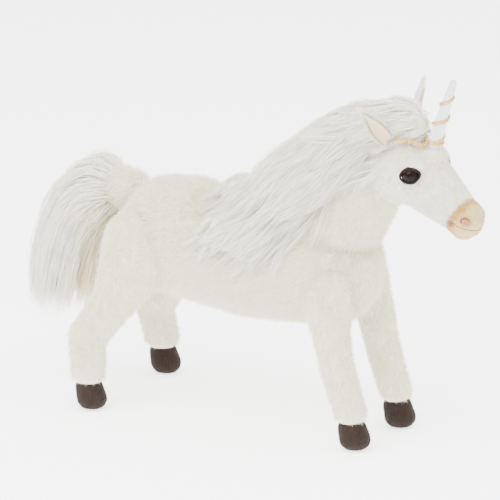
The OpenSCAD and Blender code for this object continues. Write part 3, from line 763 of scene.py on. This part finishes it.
mane_body = stuffed("mane_body", [
    hull((neck_base + vec(-8, 26, 40), vec(33, 34, 33)), (poll + vec(-4, 25, 18), vec(28, 27, 28))),
], hair_backing, voxel=2.2, smooth=6)
nape_body = stuffed("nape_hair_body", [
    hull((poll + vec(-3, 29, 17), vec(22, 20, 20)), (poll + vec(-2, 13, 32), vec(22, 20, 21))),
    hull((poll, vec(22, 22, 22))),
], hair_backing, voxel=2.2, smooth=6)
withers_body = stuffed("withers_hair_body", [
    hull((neck_base + vec(-14, 56, 24), vec(20, 20, 20)),
         (neck_base + vec(-4, 82, 25), vec(16, 17, 16))),
    hull((neck_base + vec(-38, 48, 6), vec(13, 16, 15)),
         (neck_base + vec(-36, 82, 8), vec(9, 13, 11))),
], hair_backing, voxel=2.2, smooth=6)
forelock_body = stuffed("forelock_body", [
    hull((cranium + vec(0, 22, 34), vec(16, 15, 17)), (cranium + vec(0, 3, 41), vec(14, 13, 14)),
         (cranium + vec(0, -7, 30), vec(8, 6, 7))),
], hair_backing, voxel=2.0, smooth=6)
tail_body = stuffed("tail_body", [
    hull((tail_bend + vec(0, 6, -14), vec(20, 17, 17)), (tail_bend + vec(0, 22, -36), vec(22, 18, 20))),
    hull((tail_bend + vec(0, 22, -36), vec(22, 18, 20)), (tail_bend + vec(0, 46, -88), vec(21, 18, 18))),
], hair_backing, voxel=2.2, smooth=6)


def mane_comb(p):
    """The mane falls back along the neck and over to the animal's right."""
    side = -0.34 if p[0] < 12 else 0.28
    return vec(side, 0.66, -0.68)


def nape_comb(p):
    return mane_comb(p) * vec(0.8, 1, 0.75)


def top_comb(p):
    """The forelock's hair runs back between the ears and parts a little to each side."""
    return vec(0.012 * p[0] - 0.08, 0.92, -0.1 - 0.02 * abs(p[0]))


CREST_OUT = unit(vec(0, 0.817, 0.577))  # straight out of the neck's crest

mane = locks("mane", mane_body, 330, lambda p: (p - neck_base) @ CREST_OUT > 12, mane_comb, 52,
             tree_of(mane_body, neck_skin, torso_skin, withers_body),
             lift=(2, 8), spread=(3.6, 6.6), per_guide=29)
nape_hair = locks("nape_hair", nape_body, 190, lambda p: p[:, 2] > poll[2] + 6, nape_comb, 46,
                  tree_of(mane_body, nape_body, neck_skin),
                  lift=(2, 8), spread=(3.6, 6.4), per_guide=36)
withers_hair = locks("withers_hair", withers_body, 200, lambda p: p[:, 2] > neck_base[2] - 6,
                     mane_comb, 32, tree_of(torso_skin, withers_body),
                     lift=(1, 5), spread=(3.4, 6.0), per_guide=32)
forelock = locks("forelock", forelock_body, 170, lambda p: p[:, 2] > cranium[2] + 22, top_comb, 36,
                 tree_of(head_skin, forelock_body, nape_body),
                 lift=(3, 8), spread=(2.6, 4.6), per_guide=32, wander=0.12)
TAIL_SPINE = [vec(0, -7, -8), vec(0, 18, -2), vec(0, 40, -38), vec(0, 50, -122)]
TAIL_R = 28.5


def tail_spine(t):
    """A point of the curve that the tail follows, from its root at 0 to its end at 1."""
    p = [tail_bend + q for q in TAIL_SPINE]
    return (p[0] * (1 - t) ** 3 + 3 * t * (1 - t) ** 2 * p[1]
            + 3 * t * t * (1 - t) * p[2] + t ** 3 * p[3])


def tail_lines(count, shaded, points=8):
    """Guides that arch over from the dock and hang as a full brush; the ones given painted shade face the
    rump.
    """
    lines = []
    for _ in range(count):
        a = (random.uniform(1.15, 2.0) if shaded else random.uniform(-0.25, 1.25)) * math.pi
        start = random.uniform(-0.08, 0.66)
        full = random.uniform(0.7, 1.05)
        sway = random.normal(size=3) * 2.4
        line = []
        for u in np.linspace(0, 1, points):
            t = start + min(0.5, 1 - start) * u
            swell = min(1, max(t, 0) / 0.16 + 0.35) ** 0.6 * (1 - 0.2 * max(0, t - 0.86) / 0.14)
            r = TAIL_R * full * swell * (0.62 + 0.38 * min(1, u * 3))
            ahead = unit(tail_spine(min(t + 0.02, 1.02)) - tail_spine(t))
            outward = unit(np.cross(vec(1, 0, 0), ahead))
            off = (vec(1, 0, 0) * math.cos(a) + outward * math.sin(a)) * r
            line.append(tail_spine(t) + off + sway * u)
        lines.append(line)
    return lines


TAIL_LOCKS, TAIL_UNDER_LOCKS = 290, 110
tail_hair = hair("tail_hair", tail_lines(TAIL_LOCKS, False), random.uniform(4.0, 7.5, TAIL_LOCKS),
                 32, 0.32, hair_tones, curl=2.0)
# The under hair facing the rump carries golden painted shade.
tail_under_hair = hair("tail_under_hair", tail_lines(TAIL_UNDER_LOCKS, True),
                       random.uniform(2.4, 4.4, TAIL_UNDER_LOCKS), 28, 0.32, rump_shade_tones, curl=1.2)

# ---------- ears ----------


def ear_frame(side):
    """An ear's root, and its directions up to the tip, out of its cup and across."""
    root = joint_at["ear_left_flex" if side == LEFT else "ear_right_flex"]
    base = root + vec(side * 1.0, -4.0, 3.0)
    tip = base + vec(side * 34, 14, 39)
    up = unit(tip - base)
    face = vec(side * 0.66, -0.66, 0.30)
    face = unit(face - up * (face @ up))
    return base, up, face, np.cross(up, face)


def ear_leaf(name, side, wide, long, thick, cup, forward, material, start=0.0):
    """A cupped leaf, pointed at its tip, closed all round."""
    base, up, face, across = ear_frame(side)
    rows, cols = 22, 15
    front, back = [], []
    for i in range(rows):
        u = start + (1 - start) * i / (rows - 1)
        belly_out = 0.42 + 0.58 * math.sin(math.pi * min(1, u * 1.05 + 0.12)) ** 0.9
        half = max(wide * belly_out * (1 - u ** 5) ** 0.7, 0.25)
        for j in range(cols):
            v = -1 + 2 * j / (cols - 1)
            dish = cup * (1 - 0.6 * u) * (v * v - 1) * (half / wide)
            spot = base + up * u * long + across * v * half + face * (dish + forward + 2.5 * u * u)
            t = thick * (1 - 0.75 * abs(v) ** 3) * (1 - 0.5 * u ** 4)
            front.append(spot + face * t / 2)
            back.append(spot - face * t / 2)
    size = rows * cols
    faces = []
    for i in range(rows - 1):
        for j in range(cols - 1):
            a, b = i * cols + j, (i + 1) * cols + j
            faces += [[a, a + 1, b + 1], [a, b + 1, b]]
            faces += [[size + a, size + b + 1, size + a + 1], [size + a, size + b, size + b + 1]]
    rim = list(range(cols))
    rim += [i * cols + cols - 1 for i in range(1, rows)]
    rim += [(rows - 1) * cols + j for j in range(cols - 2, -1, -1)]
    rim += [i * cols for i in range(rows - 2, 0, -1)]
    for a, b in zip(rim, rim[1:] + rim[:1]):
        faces += [[a, size + b, b], [a, size + a, size + b]]
    return mesh_piece(name, front + back, faces, [material])


def ear_comb(side):
    """Ear pile lies towards the tip."""
    up = ear_frame(side)[1]
    return lambda p: np.tile(up, (len(p), 1))


ears = {}
for side, word in SIDES:
    shell = ear_leaf(f"ear_shell_{word}", side, wide=7.8, long=51, thick=3.0, cup=4.4,
                     forward=-1.2, material=backing)
    inside = ear_leaf(f"ear_lining_skin_{word}", side, wide=5.2, long=43, thick=1.4, cup=3.4,
                      forward=0.9, material=lining, start=0.08)
    nap = pile(f"ear_pile_{word}", shell, 2.4 * DENSITY, 3.2, ear_comb(side), head_tones,
               rise=0.5, width=0.25)
    ears[word] = (shell, inside, nap)

# ---------- horn and gold cord ----------


HORN_FOOT_R, HORN_TIP_R, HORN_ROOT = 6.7, 3.0, 7
TURNS, CORD_START, CORD_RISE, CORD_TURNED = 2.28, 9.0, 43.0, 2.2
horn_across = unit(np.cross(horn_dir, vec(1, 0, 0)))
horn_other = np.cross(horn_dir, horn_across)


def on_horn(z, angle, r):
    """The point z up the horn from its foot, at an angle round its axis and r from it."""
    out = horn_across * math.cos(angle) + horn_other * math.sin(angle)
    return horn_base + horn_dir * z + out * r


def horn_radius(z):
    up = min(1.0, max(0.0, z / (horn_len - HORN_TIP_R)))
    return HORN_FOOT_R + (HORN_TIP_R - HORN_FOOT_R) * up


def cord_angle(z):
    """Where round the horn the cord is at height z."""
    return 2 * math.pi * TURNS * (z - CORD_START) / CORD_RISE + CORD_TURNED


def horn_piece():
    """The satin cone, nipped in where the cord is wound round it."""
    rows, cols = 90, 40
    points, faces = [], []
    for i in range(rows):
        z = -HORN_ROOT + (horn_len + HORN_ROOT) * i / (rows - 1)
        r = horn_radius(z)
        dome = horn_len - z
        if dome < HORN_TIP_R:
            r = min(r, math.sqrt(max(0.0, HORN_TIP_R ** 2 - (HORN_TIP_R - dome) ** 2)) + 0.02)
        for j in range(cols):
            t = 2 * math.pi * j / cols
            nip = 0.0
            if CORD_START - 3 < z < CORD_START + CORD_RISE + 3:
                gap = (t - cord_angle(z) + math.pi) % (2 * math.pi) - math.pi
                off = abs(gap) / (2 * math.pi) * CORD_RISE / TURNS
                nip = 0.55 * math.exp(-(off / 1.5) ** 2)
            pleat = 0.12 * math.sin(11 * t + 0.4 * z) + 0.08 * math.sin(17 * t - 0.23 * z)
            fade = 0.3 if dome < HORN_TIP_R else 1
            points.append(on_horn(z, t, max(0.02, r - nip + pleat * fade)))
    for i in range(rows - 1):
        for j in range(cols):
            p, q = i * cols + j, i * cols + (j + 1) % cols
            faces += [[p, q, q + cols], [p, q + cols, p + cols]]
    foot, tip = len(points), len(points) + 1
    points += [horn_base - horn_dir * HORN_ROOT, horn_base + horn_dir * horn_len]
    for j in range(cols):
        q = (j + 1) % cols
        faces += [[foot, q, j], [tip, (rows - 1) * cols + j, (rows - 1) * cols + q]]
    return mesh_piece("horn_skin", points, faces, [satin])


def round_angles(sides):
    return np.arange(sides) / sides * 2 * math.pi


def swept(name, path, radii, hint, material, loop):
    """A closed cord along a path, with a row of radii round each of its points."""
    if loop:
        along = unit(np.roll(path, -1, 0) - np.roll(path, 1, 0))
    else:
        along = unit(np.gradient(path, axis=0))
    across = unit(np.cross(along, hint))[:, None]
    other = np.cross(along[:, None], across)
    count, sides = radii.shape
    t = round_angles(sides)[None, :, None]
    points = path[:, None] + radii[:, :, None] * (across * np.cos(t) + other * np.sin(t))
    points = points.reshape(-1, 3)
    faces = []
    for i in range(count if loop else count - 1):
        for j in range(sides):
            here, there, beside = i * sides, (i + 1) % count * sides, (j + 1) % sides
            faces += [[here + j, here + beside, there + beside], [here + j, there + beside, there + j]]
    if not loop:
        foot, tip, last = count * sides, count * sides + 1, (count - 1) * sides
        points = np.concatenate([points, path[:1], path[-1:]])
        for j in range(sides):
            beside = (j + 1) % sides
            faces += [[foot, beside, j], [tip, last + j, last + beside]]
    return mesh_piece(name, points, faces, [material])


def twisted(name, path, radius, pitch, sides=10, loop=False):
    """A two-ply gold cord along a path of points."""
    path = np.asarray(path, float)
    length = np.concatenate([[0], np.cumsum(np.linalg.norm(np.diff(path, axis=0), axis=1))])
    turn = round_angles(sides)[None, :] - (length * math.pi / pitch)[:, None]
    radii = radius * (1 - 0.34 * np.abs(np.sin(turn)) ** 1.4)
    if not loop:
        taper = np.clip(np.minimum(length, length[-1] - length) / radius, 0.15, 1) ** 0.5
        radii = radii * taper[:, None]
    return swept(name, path, radii, vec(0.31, 0.2, 0.93), gold, loop)


def tube(name, path, radii, material, sides=8, loop=False):
    """A plain round tube whose radius follows radii."""
    radii = np.repeat(np.asarray(radii, float)[:, None], sides, axis=1)
    return swept(name, np.asarray(path, float), radii, vec(0.2, 0.31, 0.93), material, loop)


WINDING_R, RING_HEIGHT, HORN_PITCH = 1.75, 8.0, 3.4
horn_skin = horn_piece()
winding = [on_horn(z, cord_angle(z), horn_radius(z) + 0.15)
           for z in np.linspace(CORD_START, CORD_START + CORD_RISE, 420)]
horn_winding = twisted("horn_winding", winding, WINDING_R, HORN_PITCH)
foot_ring = [on_horn(RING_HEIGHT, t, horn_radius(RING_HEIGHT) + 0.5)
             for t in np.linspace(0, 2 * math.pi, 90, endpoint=False)]
horn_ring = twisted("horn_foot_cord", foot_ring, WINDING_R, HORN_PITCH, loop=True)

BROW_CORD_R, BROW_PITCH = 2.1, 4.0
BROW_STOPS = ((6.6, -19.0, 28.0), (11.0, -17.0, 25.4), (14.5, -12.0, 27.0), (16.8, -6.0, 29.4),
              (19.5, -1.0, 28.4), (20.5, 5.0, 29.6))


def brow_path(side):
    """The cord hangs in two shallow swags from the horn's foot to the ear."""
    stops = [cranium + vec(side * x, y, z) for x, y, z in BROW_STOPS]
    path = []
    for i in range(len(stops) - 1):
        p0, p1 = stops[max(i - 1, 0)], stops[i]
        p2, p3 = stops[i + 1], stops[min(i + 2, len(stops) - 1)]
        for u in np.linspace(0, 1, 16, endpoint=False):
            path.append(0.5 * (2 * p1 + (p2 - p0) * u + (2 * p0 - 5 * p1 + 4 * p2 - p3) * u * u
                               + (3 * p1 - p0 - 3 * p2 + p3) * u ** 3))
    tree = tree_of(head_skin)
    out = []
    for p in path:
        ground, normal = on_surface(tree, p)
        out.append(ground + normal * max(3.0, min(9.0, float((p - ground) @ normal))))
    return out


brow_cords = [twisted(f"brow_cord_{word}", brow_path(side), BROW_CORD_R, BROW_PITCH)
              for side, word in SIDES]

# ---------- eyes, nostrils and mouth ----------


def lid(side, word):
    """A soft rim that closes the round eye to an almond."""
    out = unit(eye_out * vec(side, 1, 1))
    level = unit(np.cross(out, vec(0, 0.25, 1)) * side)
    rise = unit(np.cross(level, out) * side)
    centre = mirrored(eye_at, side)
    path, radii = [], []
    for a in np.linspace(0, 2 * math.pi, 64, endpoint=False):
        x = 8.6 * math.cos(a)
        y = 5.8 * math.sin(a) * (1 - 0.25 * abs(math.cos(a)) ** 3)
        sag = 3.8 - (x * x + y * y) / 18.0
        path.append(centre + level * x + rise * y + out * sag)
        radii.append(1.0 + 0.5 * max(0, math.sin(a)))
    return tube(f"eyelid_{word}", path, radii, eyelid, loop=True)


lids = [lid(side, word) for side, word in SIDES]
muzzle_tree = tree_of(muzzle_skin)


def nostril(side, word):
    """A dark stitched comma on the muzzle."""
    centre = nostril_at(side)
    path = []
    for u in np.linspace(0, 1, 18):
        a = 3.6 * u - 0.6
        p = centre + vec(side * 0.9 * math.cos(a), 2.6 * math.cos(a) + 0.6, 2.1 * math.sin(a))
        path.append(on_surface(muzzle_tree, p)[0])
    radii = 0.95 * np.sin(np.linspace(0.35, 2.9, 18)) ** 0.5
    return tube(f"nostril_{word}", path, radii, thread)


nostril_rims = [nostril(side, word) for side, word in SIDES]


def mouth_line():
    """The stitched line of the mouth, round the front of the muzzle."""
    path = []
    for u in np.linspace(-1, 1, 60):
        a = u * math.radians(112)
        drop = 2.0 + 7.5 * max(0.0, math.cos(a)) ** 0.7
        p = muzzle + vec(19 * math.sin(a), -18 * math.cos(a), -drop)
        path.append(on_surface(muzzle_tree, p)[0])
    return tube("mouth_line", path, 0.35 + 0.5 * np.abs(np.linspace(-1, 1, 60)) ** 8, thread)


mouth = mouth_line()

# ---------- hooves ----------


FRONT_HOOF_R, REAR_HOOF_R = 12.6, 12.2


def hoof_piece(leg):
    """A velvet hoof, rounded above and flat where it stands."""
    sole = leg_points(leg)[2]
    r = FRONT_HOOF_R if LEGS[leg][0] == "front" else REAR_HOOF_R
    obj = stuffed(f"{leg}_hoof_skin", [
        hull((sole + vec(0, -0.8, 9), vec(r + 0.2, r + 0.8, 10)),
             (sole + vec(0, 2.0, 19), vec(r - 0.8, r - 0.6, 9))),
    ], velvet, voxel=1.7, smooth=4)

    def flat_sole(points, _):
        points = points.copy()
        z = points[:, 2]
        points[:, 2] = np.where(z < 1.6, 0.3 + np.clip(z + 1.2, 0, 2.8) * 0.46, z)
        return points

    move_points(obj, flat_sole)
    return obj


hooves = {leg: hoof_piece(leg) for leg in LEGS}
hoof_naps = {leg: pile(f"{leg}_hoof_nap", hooves[leg], 2.2 * DENSITY, 0.9, down, velvet_tones,
                       rise=0.9, width=0.2, keep=lambda p: p[:, 2] > 1.5) for leg in LEGS}

# ---------- what each piece rides on and stands for ----------

for piece in (torso_skin, short_pile["torso_pile_front"], short_pile["torso_pile_rear"],
              withers_body, withers_hair):
    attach(piece, "torso")
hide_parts("torso_cover", "torso_filling")
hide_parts("mane_withers")
for piece in (neck_skin, short_pile["neck_pile"]):
    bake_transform(piece)
for piece in (mane_body, mane):
    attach(piece, "neck")
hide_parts("neck_cover", "neck_filling")
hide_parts("mane_neck")
for piece in (nape_body, nape_hair):
    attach(piece, "nape")
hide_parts("mane_nape", "poll_cover", "poll_filling")
for piece in (head_skin, muzzle_skin, short_pile["head_pile"], muzzle_nap, forelock_body, forelock,
              horn_skin, horn_winding, horn_ring, *brow_cords, *lids, *nostril_rims, mouth):
    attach(piece, "head")
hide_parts("head_cover", "head_filling")
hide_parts("muzzle_cover")
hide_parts("forelock")
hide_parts("horn_cover", "horn_filling")
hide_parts("horn_cord")
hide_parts("brow_cord")
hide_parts("nostrils")
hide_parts("mouth_seam")
for word, pieces in ears.items():
    for piece in pieces:
        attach(piece, f"{word}_ear")
    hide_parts(f"ear_{word}")
    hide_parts(f"ear_lining_{word}")
for piece in (dock_skin, short_pile["tail_dock_pile"]):
    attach(piece, "tail_dock")
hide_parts("tail_dock_cover", "tail_dock_filling")
for piece in (tail_body, tail_hair, tail_under_hair):
    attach(piece, "tail")
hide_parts("tail_plume")
for leg in LEGS:
    for piece in (leg_skins[leg], short_pile[f"{leg}_leg_pile"]):
        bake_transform(piece)
    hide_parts(f"{leg}_upper_cover", f"{leg}_upper_filling",
                f"{leg}_lower_cover", f"{leg}_lower_filling")
    for piece in (hooves[leg], hoof_naps[leg]):
        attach(piece, f"{leg}_lower")
    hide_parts(f"{leg}_hoof")

# ---------- materials on the frame's own pieces ----------

wire = steel_wire()
eye_gloss = moulded("eye_gloss", (0.003, 0.002, 0.0015), (0.008, 0.005, 0.004), rough=0.1)
washer = moulded("washer_plastic", (0.74, 0.74, 0.73), (0.84, 0.84, 0.83), rough=0.4)
for name, node in frame["nodes"].items():
    if name.startswith("eye_"):
        look = washer if "washer" in name else eye_gloss
    elif "wire" in name or "swivel" in name:
        look = wire
    else:
        look = padding
    node.data.materials.clear()
    node.data.materials.append(look)
